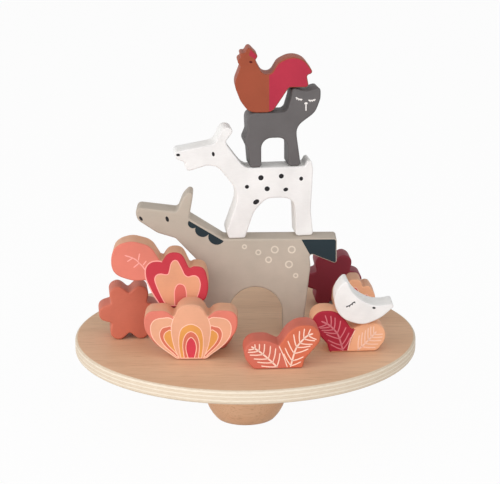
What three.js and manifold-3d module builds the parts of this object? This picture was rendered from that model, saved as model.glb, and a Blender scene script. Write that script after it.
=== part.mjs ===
// Balance game: a round plywood board on a turned rocker foot, with a stack of four wooden animals
// in the middle and flat-sawn flowers, leaves, stars and a moon standing round them.
// Millimetres, +Z up, the foot's flat underside on z = 0, the animals' painted faces towards -Y.
import * as THREE from "three";
import { mergeVertices } from "three/addons/utils/BufferGeometryUtils.js";
import Module from "manifold-3d";

const wasm = await Module();
wasm.setup();

// Board
const PLATE_RADIUS = 125;
const PLATE_THICKNESS = 10;
const PLATE_EDGE_ROUND = 2;
const FOOT_HEIGHT = 55;
const FOOT_RADIUS = 30.5;
const FOOT_FLAT_RADIUS = 22;
const DOWEL_RADIUS = 5;
const DOWEL_IN_PLATE = 6;
const DOWEL_IN_FOOT = 24;
const DOWEL_CHAMFER = 1;
const DOWEL_CLEARANCE = 0.3;

// Every loose block is sawn from one board, and its edges are rounded over.
const BLOCK_THICKNESS = 20;
const EDGE_ROUND = 1.3;
const SEAT_GAP = 0.3;

// Donkey
const DONKEY_BACK_HEIGHT = 72.9;
const DONKEY_ARCH_WIDTH = 39.2;
const DONKEY_ARCH_HEIGHT = 36.4;
const DONKEY_ARCH_MIDDLE = 7.6;
const DONKEY_FRONT_LEG_WIDTH = 19;
const DONKEY_HIND_LEG_WIDTH = 16;
const DONKEY_HEAD_REACH = 78.9;
const DONKEY_TAIL_REACH = 66.5;
const DONKEY_TAIL_DROP = 19.4;
const DONKEY_EAR_RISE = 38;
const DONKEY_FRONT = -8;

// Dog
const DOG_BACK_HEIGHT = 51.6;
const DOG_ARCH_HEIGHT = 29;
const DOG_SNOUT_REACH = 50;
const DOG_RUMP_REACH = 50.2;
const DOG_EAR_RISE = 31;
const DOG_TAIL_RISE = 7.4;
const DOG_SETBACK = 1.6;
const DOG_YAW = 7;

// Cat
const CAT_BACK_HEIGHT = 39.5;
const CAT_EAR_HEIGHT = 57.2;
const CAT_ARCH_HEIGHT = 21;
const CAT_ARCH_WIDTH = 19.4;
const CAT_HIND_LEG_REACH = 7.4;
const CAT_FRONT_LEG_WIDTH = 9.3;
const CAT_FACE_REACH = 23.6;
const CAT_HEAD_WIDTH = 20.8;
const CAT_PLACE = 5;
const CAT_SETBACK = 0.6;
const CAT_YAW = 8;

// Rooster
const ROOSTER_COMB_RISE = 29.6;
const ROOSTER_TAIL_RISE = 21.6;
const ROOSTER_TAIL_REACH = 39.4;
const ROOSTER_BREAST_REACH = 17;
const ROOSTER_PLACE = 10;
const ROOSTER_SETBACK = 0.7;
const ROOSTER_YAW = 3;

// Lotus flower
const LOTUS_HEIGHT = 40.6;
const LOTUS_SIDE_PETAL_HEIGHT = 35.5;
const LOTUS_NOTCH_HEIGHT = 31.2;
const LOTUS_HALF_WIDTH = 32.4;
const LOTUS_HALF_BASE = 9.2;
const LOTUS_PLACE = -38.1;

// Tulip, and the bush that joins a round leaf to it
const TULIP_HEIGHT = 40.8;
const TULIP_SIDE_PETAL_HEIGHT = 30.4;
const TULIP_HALF_WIDTH = 23.2;
const TULIP_HALF_BASE = 13;
const BUSH_LEAF_HEIGHT = 48.6;
const BUSH_LEAF_UNDERSIDE = 20.2;
const BUSH_LEAF_REACH = 45.6;
const BUSH_PLACE = -49;

// Small tulip
const SMALL_TULIP_HEIGHT = 34.4;
const SMALL_TULIP_SIDE_PETAL_HEIGHT = 29.4;
const SMALL_TULIP_NOTCH_HEIGHT = 28.1;
const SMALL_TULIP_HALF_WIDTH = 15.6;
const SMALL_TULIP_HALF_BASE = 8.5;
const PEACH_TULIP_PLACE = [81.3, 16];
const PEACH_TULIP_YAW = 1;

// Twin leaf
const LEAF_TALL_HEIGHT = 30.8;
const LEAF_LOW_HEIGHT = 20.7;
const LEAF_NOTCH_HEIGHT = 16.6;
const LEAF_HALF_BASE = 17;
const ORANGE_LEAF_PLACE = [22.5, -82];
const RED_LEAF_PLACE = [76.5, -47];
const FRONT_LEAF_YAW = 4;
const CORAL_LEAF_PLACE = -32;

// Moon
const MOON_HEIGHT = 32.9;
const MOON_BACK_REACH = 18.9;
const MOON_HORN_SETBACK = 9;
const MOON_SHOULDER_DROP = 9.5;
const MOON_HEEL = [1.5, 5];
const MOON_KEEL = [20.9, -1.4];
const MOON_BILGE = [8.6, 10.7];
const MOON_TAIL_REACH = 23.2;
const MOON_TAIL_HEIGHT = 15.1;
const MOON_TAIL_EDGE = 3.1;
const MOON_HORN_ROOT = [12.7, 11.1];
const MOON_TAIL_ROOT = [13.6, 2.9];
const MOON_BACK_ROUND = 17;
const MOON_BILGE_ROUND = 25;
const MOON_HOLLOW_ROUND = 22;
const MOON_TIP_ROUND = 1.9;
const MOON_PLACE = 4.3;
const MOON_OVERHANG = 5;
const MOON_YAW = -3;

// Star
const STAR_LOBES = 6;
const STAR_RADIUS = 22;
const STAR_NOTCH_RADIUS = 15.3;
const STAR_SQUARENESS = 0.6;
const TERRACOTTA_STAR_PLACE = [-84, -16];
const TERRACOTTA_STAR_YAW = 6;
const BURGUNDY_STAR_PLACE = [68, 62];
const BURGUNDY_STAR_YAW = 4;

// Rows of blocks in front of the donkey
const BUSH_ROW_GAP = 11;
const LOTUS_ROW_GAP = 3;

// Fineness of the curves
const ARC_TOLERANCE = 0.07;
const EDGE_STEPS = 2;
const STAR_STEPS_PER_LOBE = 12;
const PLATE_SIDES = 96;
const FOOT_SIDES = 56;
const DOWEL_SIDES = 24;

const PLATE_TOP = FOOT_HEIGHT + PLATE_THICKNESS;
const STAND = PLATE_TOP + SEAT_GAP;
const rad = THREE.MathUtils.degToRad;

function paint(color, roughness = 0.55) {
  return new THREE.MeshStandardMaterial({ color, roughness, metalness: 0 });
}

// Points on an arc, close enough to the true circle for ARC_TOLERANCE.
function arcPoints(centre, radius, from, sweep) {
  const step = 2 * Math.acos(Math.max(0.5, 1 - ARC_TOLERANCE / radius));
  const steps = Math.max(1, Math.ceil(Math.abs(sweep) / step));
  return Array.from({ length: steps + 1 }, (_, i) => {
    const angle = from + (sweep * i) / steps;
    return new THREE.Vector2(Math.cos(angle), Math.sin(angle)).multiplyScalar(radius).add(centre);
  });
}

// A closed outline from corners [x, z, round]. Two rounds that meet share the edge between them.
function roundedOutline(corners) {
  const count = corners.length;
  const vertices = corners.map(([x, z]) => new THREE.Vector2(x, z));
  const edges = vertices.map((v, i) => vertices[(i + 1) % count].clone().sub(v));
  const turns = edges.map((edge, i) => {
    const previous = edges[(i + count - 1) % count];
    return Math.atan2(previous.cross(edge), previous.dot(edge));
  });
  const wanted = corners.map(([, , round], i) => round * Math.tan(Math.abs(turns[i]) / 2));
  const share = edges.map((edge, i) => Math.min(1, edge.length() / (wanted[i] + wanted[(i + 1) % count])));
  const points = vertices.flatMap((vertex, i) => {
    const previous = (i + count - 1) % count;
    const fit = Math.min(share[i], share[previous]);
    const radius = corners[i][2] * fit;
    const start = edges[previous].clone().setLength(-wanted[i] * fit).add(vertex);
    const side = Math.sign(turns[i]);
    const inward = edges[previous].clone().rotateAround(new THREE.Vector2(), (side * Math.PI) / 2);
    const centre = inward.clone().setLength(radius).add(start);
    return arcPoints(centre, radius, inward.angle() + Math.PI, turns[i]);
  });
  return withoutRepeats(points);
}

function withoutRepeats(points) {
  return points.filter((p, i) => p.distanceTo(points[(i + 1) % points.length]) > ARC_TOLERANCE);
}

// The right half of an outline, read from the base up to the top, and its mirror image.
function mirroredOutline(half) {
  const left = half.map(([x, z, round]) => [-x, z, round]).reverse();
  return roundedOutline([...half, ...left]);
}

// A sawn block with rounded-over edges: front face on y = 0, back face on y = BLOCK_THICKNESS.
function block(name, outline, material, [x, front, z], yaw = 0) {
  const geometry = new THREE.ExtrudeGeometry(new THREE.Shape(outline), {
    depth: BLOCK_THICKNESS - 2 * EDGE_ROUND,
    bevelThickness: EDGE_ROUND,
    bevelSize: EDGE_ROUND,
    bevelOffset: -EDGE_ROUND,
    bevelSegments: EDGE_STEPS,
  });
  geometry.translate(0, 0, EDGE_ROUND - BLOCK_THICKNESS);
  geometry.rotateX(Math.PI / 2);
  const mesh = new THREE.Mesh(geometry, material);
  mesh.name = name;
  mesh.position.set(x, front, z);
  mesh.rotation.z = rad(yaw);
  return mesh;
}

// A turned piece about the Z axis. The profile runs [radius, height] upwards from axis to axis.
function turned(profile, sides) {
  const points = profile.map(([radius, height]) => new THREE.Vector2(radius, height));
  return new THREE.LatheGeometry(points, sides).rotateX(Math.PI / 2);
}

function arcProfile(centre, radius, from, sweep) {
  return arcPoints(new THREE.Vector2(...centre), radius, from, sweep).map((p) => p.toArray());
}

function solidOf(geometry) {
  const bare = geometry.clone();
  bare.deleteAttribute("normal");
  bare.deleteAttribute("uv");
  const merged = mergeVertices(bare, 1e-4);
  return new wasm.Manifold(
    new wasm.Mesh({
      numProp: 3,
      vertProperties: new Float32Array(merged.attributes.position.array),
      triVerts: new Uint32Array(merged.index.array),
    }),
  );
}

// A turned piece with the dowel's bore cut into it.
function boredMesh(name, geometry, bore, material) {
  const cut = solidOf(geometry).subtract(solidOf(bore)).getMesh();
  const result = new THREE.BufferGeometry();
  result.setAttribute("position", new THREE.BufferAttribute(cut.vertProperties, 3));
  result.setIndex(new THREE.BufferAttribute(cut.triVerts, 1));
  result.computeVertexNormals();
  const mesh = new THREE.Mesh(result, material);
  mesh.name = name;
  return mesh;
}

function dowelProfile(clearance) {
  const radius = DOWEL_RADIUS + clearance;
  const low = FOOT_HEIGHT - DOWEL_IN_FOOT - clearance;
  const high = FOOT_HEIGHT + DOWEL_IN_PLATE + clearance;
  return [
    [0, low],
    [radius - DOWEL_CHAMFER, low],
    [radius, low + DOWEL_CHAMFER],
    [radius, high - DOWEL_CHAMFER],
    [radius - DOWEL_CHAMFER, high],
    [0, high],
  ];
}

function board() {
  const edge = PLATE_RADIUS - PLATE_EDGE_ROUND;
  const quarter = Math.PI / 2;
  const plateProfile = [
    [0, FOOT_HEIGHT],
    ...arcProfile([edge, FOOT_HEIGHT + PLATE_EDGE_ROUND], PLATE_EDGE_ROUND, -quarter, quarter),
    ...arcProfile([edge, PLATE_TOP - PLATE_EDGE_ROUND], PLATE_EDGE_ROUND, 0, quarter),
    [0, PLATE_TOP],
  ];
  const ballCentre = Math.sqrt(FOOT_RADIUS ** 2 - FOOT_FLAT_RADIUS ** 2);
  const flatAngle = Math.atan2(-ballCentre, FOOT_FLAT_RADIUS);
  const footProfile = [
    [0, 0],
    ...arcProfile([0, ballCentre], FOOT_RADIUS, flatAngle, -flatAngle),
    [FOOT_RADIUS, FOOT_HEIGHT],
    [0, FOOT_HEIGHT],
  ];
  const bore = turned(dowelProfile(DOWEL_CLEARANCE), DOWEL_SIDES);
  const dowel = new THREE.Mesh(turned(dowelProfile(0), DOWEL_SIDES), paint(0xd9b48c, 0.7));
  dowel.name = "foot_dowel";
  return [
    boredMesh("plate", turned(plateProfile, PLATE_SIDES), bore, paint(0xd2a786, 0.5)),
    boredMesh("rocker_foot", turned(footProfile, FOOT_SIDES), bore, paint(0xcb9b7a, 0.5)),
    dowel,
  ];
}

function donkeyOutline() {
  const archLeft = DONKEY_ARCH_MIDDLE - DONKEY_ARCH_WIDTH / 2;
  const archRight = DONKEY_ARCH_MIDDLE + DONKEY_ARCH_WIDTH / 2;
  const chest = archLeft - DONKEY_FRONT_LEG_WIDTH;
  const rump = archRight + DONKEY_HIND_LEG_WIDTH;
  const nose = -DONKEY_HEAD_REACH;
  const back = DONKEY_BACK_HEIGHT;
  const feet = [
    [chest, 0, 3],
    [archLeft, 0, 3],
    [archLeft, DONKEY_ARCH_HEIGHT, DONKEY_ARCH_WIDTH / 2],
    [archRight, DONKEY_ARCH_HEIGHT, DONKEY_ARCH_WIDTH / 2],
    [archRight, 0, 3],
    [rump, 0, 3],
  ];
  const rumpAndTail = [
    [rump, 14, 20],
    [rump + 4.4, back - 20, 12],
    [rump + 3.2, back - 11, 2],
    [DONKEY_TAIL_REACH, back - DONKEY_TAIL_DROP, 1.7],
    [DONKEY_TAIL_REACH, back, 2.2],
  ];
  const maneAndEar = [
    [chest + 15.6, back, 3],
    [chest - 9, back + 15.8, 1.5],
    [chest - 6.4, back + DONKEY_EAR_RISE - 8, 8],
    [chest - 5.9, back + DONKEY_EAR_RISE, 2.2],
    [chest - 13.6, back + DONKEY_EAR_RISE - 7.5, 10],
    [chest - 17.6, back + 20.4, 3],
  ];
  const muzzle = [
    [nose, back + 24.2, 3.5],
    [nose + 1.4, back + 14.6, 7],
    [nose + 15.9, back + 4.8, 14],
    [chest - 19, back + 0.8, 3],
    [chest - 1.2, back - 18.5, 14],
  ];
  return roundedOutline([...feet, ...rumpAndTail, ...maneAndEar, ...muzzle]);
}

function dogOutline() {
  const back = DOG_BACK_HEIGHT;
  const rump = DOG_RUMP_REACH;
  const nose = -DOG_SNOUT_REACH;
  const legs = [
    [-11.6, 0, 2],
    [0.2, 0, 2],
    [7, DOG_ARCH_HEIGHT - 9, 14],
    [16, DOG_ARCH_HEIGHT, 10],
    [rump - 13.8, DOG_ARCH_HEIGHT, 8],
    [rump - 12.8, 0, 2],
    [rump, 0, 2.5],
  ];
  const tail = [
    [rump - 1.9, 18, 24],
    [rump - 0.3, back - 2, 6],
    [rump - 2.3, back + DOG_TAIL_RISE, 1.8],
    [rump - 6.4, back, 2],
  ];
  const neckAndEar = [
    [0.2, back, 8],
    [-14, back + 19.4, 4],
    [-6, back + DOG_EAR_RISE - 2.4, 1.8],
    [-14.8, back + DOG_EAR_RISE, 2.6],
    [-21, back + 18.4, 3],
  ];
  const muzzle = [
    [nose, back + 13.6, 2.4],
    [nose + 1.2, back + 8.4, 2],
    [nose + 7.7, back + 5.6, 1.5],
    [nose + 8.4, back - 1.2, 2.6],
    [-26, back + 3.2, 8],
    [-19, back + 2, 6],
    [-3.2, 33, 16],
    [-13, 6, 5],
  ];
  return roundedOutline([...legs, ...tail, ...neckAndEar, ...muzzle]);
}

function catOutline() {
  const archLeft = CAT_HIND_LEG_REACH;
  const archRight = archLeft + CAT_ARCH_WIDTH;
  const face = archRight + CAT_FACE_REACH;
  const cheek = face - CAT_HEAD_WIDTH;
  const back = CAT_BACK_HEIGHT;
  const legs = [
    [-0.8, 0, 2],
    [archLeft, 0, 2],
    [archLeft, CAT_ARCH_HEIGHT, 7.5],
    [archRight, CAT_ARCH_HEIGHT, 7.5],
    [archRight, 0, 2],
    [archRight + CAT_FRONT_LEG_WIDTH, 0, 2],
  ];
  const head = [
    [archRight + 5.3, back - 11, 8],
    [face - 3.9, back - 1, 6],
    [face - 0.2, back + 9, 10],
    [face, CAT_EAR_HEIGHT, 2],
    [(face + cheek) / 2, CAT_EAR_HEIGHT - 3.2, 10],
    [cheek, CAT_EAR_HEIGHT, 2],
    [cheek - 0.6, CAT_EAR_HEIGHT - 7, 8],
    [cheek - 3.8, back, 4],
  ];
  const rump = [
    [-2.8, back, 4.5],
    [-2.3, 26, 3],
    [-5, 19.6, 4],
    [-1.8, 12.6, 4],
  ];
  return roundedOutline([...legs, ...head, ...rump]);
}

// The rooster's tail comes down on the cat's ears, at the level that its body stands on the back.
function roosterOutline() {
  const perch = CAT_EAR_HEIGHT - CAT_BACK_HEIGHT;
  const tip = ROOSTER_TAIL_REACH;
  const tailTop = perch + ROOSTER_TAIL_RISE;
  const breast = -ROOSTER_BREAST_REACH;
  const comb = perch + ROOSTER_COMB_RISE;
  const tail = [
    [tip - 17.4, perch, 2.5],
    [tip - 3.2, perch, 2.2],
    [tip - 4.8, tailTop - 13.2, 1.8],
    [tip, tailTop - 11.2, 1.8],
    [tip - 6.2, tailTop - 2.6, 12],
    [tip - 14.9, tailTop + 1.2, 14],
    [tip - 25.2, tailTop - 4, 8],
    [6.2, perch + 4, 5.2],
  ];
  const head = [
    [-1.9, comb - 10.1, 1.5],
    [0.2, comb - 6.8, 1.8],
    [-6.4, comb, 2],
    [-9.3, comb - 4.8, 1.5],
    [breast + 3.2, comb - 4.4, 1.6],
    [-11.6, comb - 8.2, 1.2],
    [breast + 1.6, comb - 10, 2.2],
    [-12, comb - 14.2, 2],
  ];
  const body = [
    [breast, perch + 2.6, 12],
    [breast + 4.5, 8.5, 12],
    [-6.5, 0, 6],
    [10.2, 0, 3],
  ];
  return roundedOutline([...body, ...tail, ...head]);
}

function lotusOutline() {
  const wide = LOTUS_HALF_WIDTH;
  return mirroredOutline([
    [LOTUS_HALF_BASE, 0, 1.8],
    [wide - 7.4, 11.5, 24],
    [wide + 0.4, 21.5, 16],
    [wide + 0.2, LOTUS_SIDE_PETAL_HEIGHT, 7],
    [wide - 14.9, LOTUS_SIDE_PETAL_HEIGHT + 0.7, 9],
    [wide - 20.5, LOTUS_NOTCH_HEIGHT, 1.5],
    [8.4, LOTUS_HEIGHT - 2.2, 7],
    [4.5, LOTUS_HEIGHT, 6],
  ]);
}

// One side of a tulip, from its base to its middle petal.
function tulipSide() {
  const wide = TULIP_HALF_WIDTH;
  return [
    [TULIP_HALF_BASE, 0, 2.5],
    [wide - 1.7, 6.5, 8],
    [wide + 0.2, 16, 20],
    [wide - 2.6, TULIP_SIDE_PETAL_HEIGHT, 5.5],
    [wide - 10.7, TULIP_SIDE_PETAL_HEIGHT, 3],
    [wide - 13.6, TULIP_SIDE_PETAL_HEIGHT - 1.7, 1.5],
    [4.4, TULIP_HEIGHT, 5],
  ];
}

function smallTulipOutline() {
  const wide = SMALL_TULIP_HALF_WIDTH;
  return mirroredOutline([
    [SMALL_TULIP_HALF_BASE, 0, 2.2],
    [wide - 1.8, 6, 8],
    [wide + 0.3, 14, 14],
    [wide - 0.3, SMALL_TULIP_SIDE_PETAL_HEIGHT - 6.8, 7],
    [wide - 4.4, SMALL_TULIP_SIDE_PETAL_HEIGHT, 3.6],
    [wide - 7.6, SMALL_TULIP_SIDE_PETAL_HEIGHT, 2.6],
    [wide - 9.6, SMALL_TULIP_NOTCH_HEIGHT, 1.5],
    [4.4, SMALL_TULIP_HEIGHT, 3.8],
  ]);
}

function bushOutline() {
  const reach = -BUSH_LEAF_REACH;
  const leaf = [
    [-5.8, TULIP_HEIGHT, 5],
    [-9.9, TULIP_HEIGHT - 7.8, 1.5],
    [-17.5, BUSH_LEAF_HEIGHT - 3, 12],
    [-31, BUSH_LEAF_HEIGHT + 0.8, 16],
    [reach, BUSH_LEAF_HEIGHT - 3.6, 12],
    [reach, BUSH_LEAF_UNDERSIDE + 4.3, 9],
    [-30, BUSH_LEAF_UNDERSIDE - 0.4, 16],
    [-21, BUSH_LEAF_UNDERSIDE, 2],
    [-8, 0, 2],
  ];
  return roundedOutline([...tulipSide(), ...leaf]);
}

// A tall leaf and a low one on a shared foot. The tall one leans to the side given, 1 or -1.
function twinLeafOutline(side) {
  const corners = [
    [-LEAF_HALF_BASE, 0, 5],
    [LEAF_HALF_BASE, 0, 2],
    [LEAF_HALF_BASE + 1.4, 6.2, 4],
    [LEAF_HALF_BASE + 13, 19.5, 9],
    [LEAF_HALF_BASE + 11, LEAF_TALL_HEIGHT, 9],
    [13.5, LEAF_TALL_HEIGHT, 13],
    [7, LEAF_TALL_HEIGHT - 5, 10],
    [1, LEAF_NOTCH_HEIGHT, 1.8],
    [-7.5, LEAF_LOW_HEIGHT, 9],
    [-LEAF_HALF_BASE - 6.4, LEAF_LOW_HEIGHT, 9],
    [-LEAF_HALF_BASE - 6.2, 8, 10],
  ];
  return roundedOutline(corners.map(([x, z, round]) => [side * x, z, round]));
}

// A round-lobed star on two of its lobes: the radius swings once for each lobe.
function starOutline() {
  const swing = (STAR_RADIUS - STAR_NOTCH_RADIUS) / 2;
  const middle = (STAR_RADIUS + STAR_NOTCH_RADIUS) / 2 + STAR_SQUARENESS;
  const steps = STAR_LOBES * STAR_STEPS_PER_LOBE;
  const points = Array.from({ length: steps }, (_, i) => {
    const angle = (2 * Math.PI * i) / steps;
    const lobe = swing * Math.cos(STAR_LOBES * angle);
    const square = STAR_SQUARENESS * Math.cos(2 * STAR_LOBES * angle);
    return new THREE.Vector2(Math.cos(angle), Math.sin(angle)).multiplyScalar(middle + lobe - square);
  });
  const lowest = Math.min(...points.map((p) => p.y));
  return points.map((p) => new THREE.Vector2(p.x, p.y - lowest));
}

// A crescent lying on its round back, with its tail drawn out to the right.
function moonOutline() {
  const back = -MOON_BACK_REACH;
  const tail = MOON_TAIL_REACH;
  const tailTop = MOON_TAIL_HEIGHT;
  const [heelIn, heelHeight] = MOON_HEEL;
  const [keelIn, keelHeight] = MOON_KEEL;
  const [bilgeIn, bilgeDrop] = MOON_BILGE;
  const [hornRootIn, hornRootDrop] = MOON_HORN_ROOT;
  const [tailRootIn, tailRootDrop] = MOON_TAIL_ROOT;
  return roundedOutline([
    [back + MOON_HORN_SETBACK, MOON_HEIGHT, MOON_TIP_ROUND],
    [back, MOON_HEIGHT - MOON_SHOULDER_DROP, MOON_BACK_ROUND],
    [back + heelIn, heelHeight, MOON_BACK_ROUND],
    [back + keelIn, keelHeight, MOON_BACK_ROUND],
    [tail - bilgeIn, tailTop - bilgeDrop, MOON_BILGE_ROUND],
    [tail, tailTop - MOON_TAIL_EDGE, MOON_TIP_ROUND],
    [tail, tailTop, MOON_TIP_ROUND],
    [tail - tailRootIn, tailTop - tailRootDrop, MOON_HOLLOW_ROUND],
    [back + hornRootIn, MOON_HEIGHT - hornRootDrop, MOON_HOLLOW_ROUND],
  ]);
}

// The heights at which an outline crosses the upright line at x.
function crossings(outline, x) {
  return outline.flatMap((p, i) => {
    const q = outline[(i + 1) % outline.length];
    const within = p.x !== q.x && (p.x - x) * (q.x - x) <= 0;
    return within ? [THREE.MathUtils.mapLinear(x, p.x, q.x, p.y, q.y)] : [];
  });
}

// How far an outline is lifted so that it just clears a seat's outline below it.
function liftOnto(seat, outline) {
  const places = [...seat, ...outline].map((p) => p.x);
  const lifts = places.map((x) => Math.max(...crossings(seat, x)) - Math.min(...crossings(outline, x)));
  return Math.max(...lifts) + SEAT_GAP;
}

function animals() {
  const dogFloor = STAND + DONKEY_BACK_HEIGHT + SEAT_GAP;
  const catFloor = dogFloor + DOG_BACK_HEIGHT + SEAT_GAP;
  const roosterFloor = catFloor + CAT_BACK_HEIGHT + SEAT_GAP;
  const dogFront = DONKEY_FRONT + DOG_SETBACK;
  const catFront = dogFront + CAT_SETBACK;
  const perchPlace = [ROOSTER_PLACE, catFront + ROOSTER_SETBACK, roosterFloor];
  return [
    block("donkey", donkeyOutline(), paint(0xbcad9b), [0, DONKEY_FRONT, STAND]),
    block("dog", dogOutline(), paint(0xf0ecea), [0, dogFront, dogFloor], DOG_YAW),
    block("cat", catOutline(), paint(0x6e6a69), [CAT_PLACE, catFront, catFloor], CAT_YAW),
    block("rooster", roosterOutline(), paint(0xa85a3e), perchPlace, ROOSTER_YAW),
  ];
}

function plants() {
  const bushFront = DONKEY_FRONT - BUSH_ROW_GAP - BLOCK_THICKNESS;
  const lotusFront = bushFront - LOTUS_ROW_GAP - BLOCK_THICKNESS;
  const bushFloor = STAND + LEAF_TALL_HEIGHT + SEAT_GAP;
  const orangeLeafPlace = [...ORANGE_LEAF_PLACE, STAND];
  const tulipPlace = [...PEACH_TULIP_PLACE, STAND];
  return [
    block("lotus_flower", lotusOutline(), paint(0xf08c78), [LOTUS_PLACE, lotusFront, STAND]),
    block("coral_twin_leaf", twinLeafOutline(-1), paint(0xd0786a), [CORAL_LEAF_PLACE, bushFront, STAND]),
    block("tulip_bush", bushOutline(), paint(0xf0826e), [BUSH_PLACE, bushFront, bushFloor]),
    block("orange_twin_leaf", twinLeafOutline(1), paint(0xde7855), orangeLeafPlace, FRONT_LEAF_YAW),
    block("peach_tulip", smallTulipOutline(), paint(0xeeaf87), tulipPlace, PEACH_TULIP_YAW),
  ];
}

function moonOnLeaf() {
  const leaf = twinLeafOutline(-1);
  const moon = moonOutline().map((p) => p.setX(p.x + MOON_PLACE));
  const drift = BLOCK_THICKNESS * Math.sin(rad(-MOON_YAW));
  const moonRear = moon.map((p) => new THREE.Vector2(p.x + drift, p.y));
  const seat = Math.max(liftOnto(leaf, moon), liftOnto(leaf, moonRear));
  const pair = new THREE.Group();
  pair.position.set(...RED_LEAF_PLACE, STAND);
  pair.rotation.z = rad(FRONT_LEAF_YAW);
  pair.add(
    block("red_twin_leaf", leaf, paint(0xc83c4b), [0, 0, 0]),
    block("moon", moon, paint(0xf0ecea), [0, -MOON_OVERHANG, seat], MOON_YAW),
  );
  return pair;
}

function stars() {
  const outline = starOutline();
  const leftPlace = [...TERRACOTTA_STAR_PLACE, STAND];
  const rearPlace = [...BURGUNDY_STAR_PLACE, STAND];
  return [
    block("terracotta_star", outline, paint(0xd0705a), leftPlace, TERRACOTTA_STAR_YAW),
    block("burgundy_star", outline, paint(0x69232d), rearPlace, BURGUNDY_STAR_YAW),
  ];
}

const game = new THREE.Group();
game.name = "balance_game";
game.add(...board(), ...animals(), ...plants(), moonOnLeaf(), ...stars());

export default game;
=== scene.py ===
"""Balance game: painted wooden blocks stacked on a rocking plywood board.

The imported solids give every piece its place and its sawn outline. This script refines the outlines,
rounds the edges over, lays the painted decoration on both faces, dresses the board and its foot, and
sets up a pale studio. Sizes are in millimetres unless a name or a docstring says otherwise. Blender's
own unit is the metre.
"""
import logging
import math
from collections import defaultdict
from collections.abc import Callable, Iterator, Sequence
from dataclasses import dataclass, field, replace
from enum import Enum
from typing import ClassVar

import bmesh
import bpy
from mathutils import Matrix, Vector
from mathutils.geometry import interpolate_bezier


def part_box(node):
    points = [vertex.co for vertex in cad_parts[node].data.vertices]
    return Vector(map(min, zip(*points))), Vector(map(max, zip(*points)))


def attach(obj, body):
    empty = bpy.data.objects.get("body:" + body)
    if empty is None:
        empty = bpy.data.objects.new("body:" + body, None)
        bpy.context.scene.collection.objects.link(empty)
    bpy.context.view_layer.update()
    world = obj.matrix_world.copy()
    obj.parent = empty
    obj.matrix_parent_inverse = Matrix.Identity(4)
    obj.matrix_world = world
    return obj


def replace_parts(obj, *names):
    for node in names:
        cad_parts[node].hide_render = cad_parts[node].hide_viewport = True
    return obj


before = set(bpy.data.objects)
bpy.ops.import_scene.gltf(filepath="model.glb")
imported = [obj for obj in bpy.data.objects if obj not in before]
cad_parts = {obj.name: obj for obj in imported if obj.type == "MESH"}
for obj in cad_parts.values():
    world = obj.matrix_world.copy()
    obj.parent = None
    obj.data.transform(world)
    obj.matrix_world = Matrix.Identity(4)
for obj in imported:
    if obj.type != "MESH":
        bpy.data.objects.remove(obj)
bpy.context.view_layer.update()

Point = tuple[float, float]
Place = tuple[float, float, float]
Path = tuple[Point, ...]
Paths = tuple[Path, ...]
Cut = tuple[Point, Point]
Cuts = tuple[Cut, ...]
RGB = tuple[int, int, int]
Solid = bmesh.types.BMesh
Face = bmesh.types.BMFace
Object = bpy.types.Object
Material = bpy.types.Material
Socket = bpy.types.NodeSocket

LOG = logging.getLogger("balance_game")
MM = 0.001
MERGE_METRES = 1e-6
UP = Vector((0, 0, 1))
PURE_WHITE: RGB = (255, 255, 255)
PHOTO_WIDTH = 500


def linear(colour: RGB) -> tuple[float, ...]:
    """Turns a screen colour, in parts from 0 to 255, into a shader's linear colour with full alpha."""
    parts = [value / 255 for value in colour]
    return (*((p / 12.92 if p <= 0.04045 else ((p + 0.055) / 1.055) ** 2.4) for p in parts), 1.0)


def shade(colour: RGB, factor: float) -> RGB:
    """Makes a screen colour lighter, by a factor above 1, or darker."""
    return tuple(min(255, round(value * factor)) for value in colour)


def flat(point: Point) -> Vector:
    """Gives a point of a face's plane as a vector."""
    return Vector((*point, 0))


def mirrored(half: Path) -> list[Point]:
    """Adds the right half to an outline's left half, which ends on the middle line."""
    return [*half, *((-x, z) for x, z in reversed(half[:-1]))]


def smooth_path(points: Sequence[Point], closed: bool = False, steps: int = 8) -> list[Vector]:
    """Runs one smooth curve through points.

    Args:
        points: the points, in order.
        closed: whether the curve comes back to its first point.
        steps: pieces between two points.

    Returns:
        The curve's points. A closed curve doesn't repeat its first one.
    """
    knots = [flat(point) for point in points]
    last = len(knots) - 1
    path: list[Vector] = []
    for i in range(last + closed):
        around = [(j % (last + 1)) if closed else min(max(j, 0), last) for j in range(i - 1, i + 3)]
        before, start, end, after = (knots[j] for j in around)
        # A sixth of the way between a knot's neighbours makes the curve smooth there.
        handles = start + (end - before) / 6, end - (after - start) / 6
        path += interpolate_bezier(start, *handles, end, steps + 1)[:-1]
    return path if closed else [*path, knots[-1]]


def lobe(start: Point, end: Point, depth: float, steps: int = 12) -> list[Vector]:
    """Draws one rounded lobe that hangs to the left of the line between two points.

    Args:
        start: where the lobe begins.
        end: where it ends.
        depth: how far it hangs out.
        steps: pieces along it.

    Returns:
        The lobe's points, without its end.
    """
    a, b = flat(start), flat(end)
    chord = b - a
    lean = chord * 0.1
    # The curve reaches three quarters of the way to its handles.
    out = Vector((-chord.y, chord.x, 0)).normalized() * depth * 4 / 3
    return interpolate_bezier(a, a + lean + out, b - lean + out, b, steps + 1)[:-1]


def turn(before: Vector, here: Vector, after: Vector) -> float:
    """Gives the angle in radians by which a run of three points turns, left as positive."""
    first, second = here - before, after - here
    return math.atan2(first.x * second.y - first.y * second.x, first.x * second.x + first.y * second.y)


def edges_of(points: Sequence[Vector]) -> Iterator[tuple[Vector, Vector]]:
    """Gives the two ends of each side of a closed outline."""
    return zip(points, [*points[1:], points[0]])


def bent(points: Sequence[Vector], least: float) -> list[Vector]:
    """Keeps the points of a closed outline at which it turns by more than the least angle in degrees."""
    ring = zip([points[-1], *points[:-1]], points, [*points[1:], points[0]])
    return [here for before, here, after in ring if abs(turn(before, here, after)) > math.radians(least)]


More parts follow.
